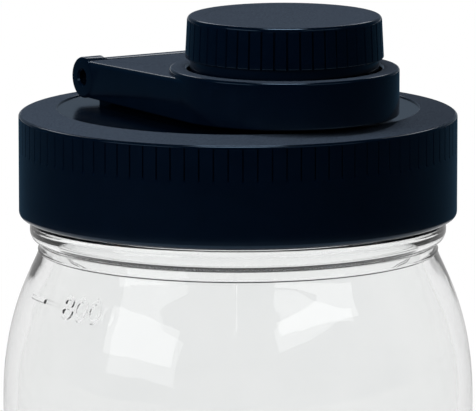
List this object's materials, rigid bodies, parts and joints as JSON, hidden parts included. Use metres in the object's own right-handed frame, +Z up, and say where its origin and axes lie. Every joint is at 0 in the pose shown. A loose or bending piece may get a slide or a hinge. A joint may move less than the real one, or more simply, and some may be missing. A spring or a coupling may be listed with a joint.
{
  "type": "mason jar with pour lid",
  "caption": "Clear glass mason jar with a black screw lid; a hinged collar on the lid keeps a ribbed screw cap over an off-centre pour spout.",
  "frame": {"origin": "centre of the jar's base, on the surface it stands on", "axes": "+Z up along the jar's axis, -Y towards the pour spout, +Y towards the hinge of the collar"},
  "size_m": [0.1, 0.1, 0.1989],
  "materials": {
    "glass": "clear moulded glass",
    "black_plastic": "satin moulded polypropylene, navy black",
    "silicone": "matt translucent white silicone",
    "steel": "drawn stainless wire"
  },
  "bodies": {
    "jar": {"glass_jar": "glass"},
    "lid_seal": {"lid_gasket": "silicone"},
    "lid": {"screw_lid": "black_plastic"},
    "collar": {"cap_collar": "black_plastic", "hinge_pin": "steel"},
    "cap_seal": {"cap_liner": "silicone"},
    "cap": {"pour_cap": "black_plastic", "cap_retainer": "black_plastic"}
  },
  "joints": [
    {"name": "lid_lift", "type": "slide", "parent": "jar", "child": "lid_seal", "axis": [0, 0, 1], "range_m": [0, 0.0255]},
    {"name": "lid_turn", "type": "hinge", "parent": "lid_seal", "child": "lid", "pos_m": [0, 0, 0.165], "axis": [0, 0, 1], "range_deg": [0, 1440]},
    {"name": "collar_swing", "type": "hinge", "parent": "lid", "child": "collar", "pos_m": [0, 0.0243, 0.1822], "axis": [-1, 0, 0], "range_deg": [0, 150]},
    {"name": "cap_lift", "type": "slide", "parent": "collar", "child": "cap_seal", "axis": [0, 0, 1], "range_m": [-0.00191, 0]},
    {"name": "cap_turn", "type": "hinge", "parent": "cap_seal", "child": "cap", "pos_m": [0, -0.0187, 0.19], "axis": [0, 0, 1], "range_deg": [-360, 0]}
  ],
  "couplings": [
    {"joint": "lid_lift", "follows": "lid_turn", "m_per_rad": 0.0010106},
    {"joint": "cap_lift", "follows": "cap_turn", "m_per_rad": 0.00030239}
  ]
}
